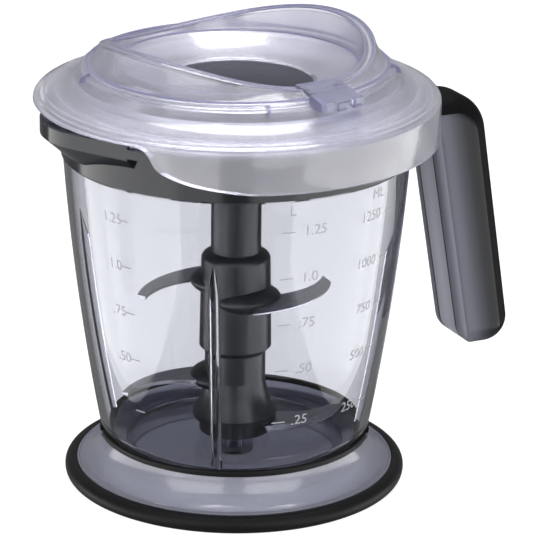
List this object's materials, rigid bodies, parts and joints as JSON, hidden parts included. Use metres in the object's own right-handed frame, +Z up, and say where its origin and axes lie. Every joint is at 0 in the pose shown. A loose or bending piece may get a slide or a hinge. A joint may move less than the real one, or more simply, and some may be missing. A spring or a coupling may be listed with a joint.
{
  "type": "electric food chopper bowl",
  "caption": "Food chopper bowl: clear handled jug with curved blades on a turning hub, saddle-rimmed lid with a reduction gear, and a flared anti-slip base.",
  "frame": {"origin": "centre of the base ring's underside, on the jug's axis, at table level", "axes": "+Z up along the jug's axis, +X towards the handle, -X towards the pouring lip"},
  "size_m": [0.2112, 0.168, 0.1926],
  "materials": {
    "black_rubber": "matte",
    "smoke_plastic": "translucent smoke grey",
    "clear_plastic": "clear",
    "steel": "fine ground",
    "dark_smoke_plastic": "gloss",
    "handle_plastic": "gloss",
    "cover_plastic": "satin",
    "grip_rubber": "matte",
    "hub_plastic": "satin",
    "bush_plastic": "satin",
    "frosted_plastic": "frosted",
    "latch_plastic": "clear",
    "seal_rubber": "satin",
    "gear_plastic": "satin",
    "coupling_plastic": "satin"
  },
  "bodies": {
    "base": {"base_ring": "black_rubber", "base_dish": "smoke_plastic"},
    "jug": {"jug_body": "clear_plastic", "pivot_pin": "steel", "rim_collar": "dark_smoke_plastic", "handle_shell": "handle_plastic", "handle_inner_cover": "cover_plastic", "handle_grip": "grip_rubber", "handle_screws": "steel"},
    "blade_unit": {"blade_hub": "hub_plastic", "hub_bush": "bush_plastic", "upper_right_blade": "steel", "upper_left_blade": "steel", "lower_left_blade": "steel", "lower_right_blade": "steel"},
    "lid": {"lid_cover": "frosted_plastic", "coupling_collar": "frosted_plastic", "lid_gasket": "seal_rubber", "lever_pin": "steel", "gear_housing": "hub_plastic", "gear_cover": "hub_plastic", "ring_gear": "gear_plastic", "carrier_bush": "bush_plastic", "sun_bush": "bush_plastic", "housing_screws": "steel"},
    "carrier": {"planet_carrier": "gear_plastic", "planet_pins": "steel"},
    "sun": {"sun_gear": "gear_plastic", "drive_coupling": "coupling_plastic"},
    "planet_1": {"planet_gear_1": "gear_plastic"},
    "planet_2": {"planet_gear_2": "gear_plastic"},
    "planet_3": {"planet_gear_3": "gear_plastic"},
    "lever": {"release_lever": "latch_plastic"}
  },
  "joints": [
    {"name": "jug_lift", "type": "slide", "parent": "base", "child": "jug", "axis": [0, 0, 1], "range_m": [0, 0.06]},
    {"name": "blade_spin", "type": "hinge", "parent": "jug", "child": "blade_unit", "pos_m": [0, 0, 0.06], "axis": [0, 0, 1], "continuous": true},
    {"name": "lid_lift", "type": "slide", "parent": "jug", "child": "lid", "axis": [0, 0, 1], "range_m": [0, 0.12]},
    {"name": "carrier_spin", "type": "hinge", "parent": "lid", "child": "carrier", "pos_m": [0, 0, 0.138], "axis": [0, 0, 1], "continuous": true},
    {"name": "sun_spin", "type": "hinge", "parent": "lid", "child": "sun", "pos_m": [0, 0, 0.145], "axis": [0, 0, 1], "continuous": true},
    {"name": "planet_1_spin", "type": "hinge", "parent": "carrier", "child": "planet_1", "pos_m": [0.0135, 0, 0.1452], "axis": [0, 0, 1], "continuous": true},
    {"name": "planet_2_spin", "type": "hinge", "parent": "carrier", "child": "planet_2", "pos_m": [-0.00675, 0.01169, 0.1452], "axis": [0, 0, 1], "continuous": true},
    {"name": "planet_3_spin", "type": "hinge", "parent": "carrier", "child": "planet_3", "pos_m": [-0.00675, -0.01169, 0.1452], "axis": [0, 0, 1], "continuous": true},
    {"name": "lever_press", "type": "hinge", "parent": "lid", "child": "lever", "pos_m": [0.01235, -0.05349, 0.1776], "axis": [-0.9744, -0.225, 0], "range_deg": [0, 6], "stiffness_Nm_per_rad": 0.06}
  ],
  "couplings": [
    {"joint": "carrier_spin", "follows": "blade_spin", "ratio": 1},
    {"joint": "sun_spin", "follows": "blade_spin", "ratio": 4.5},
    {"joint": "planet_1_spin", "follows": "blade_spin", "ratio": -2.8},
    {"joint": "planet_2_spin", "follows": "blade_spin", "ratio": -2.8},
    {"joint": "planet_3_spin", "follows": "blade_spin", "ratio": -2.8}
  ]
}
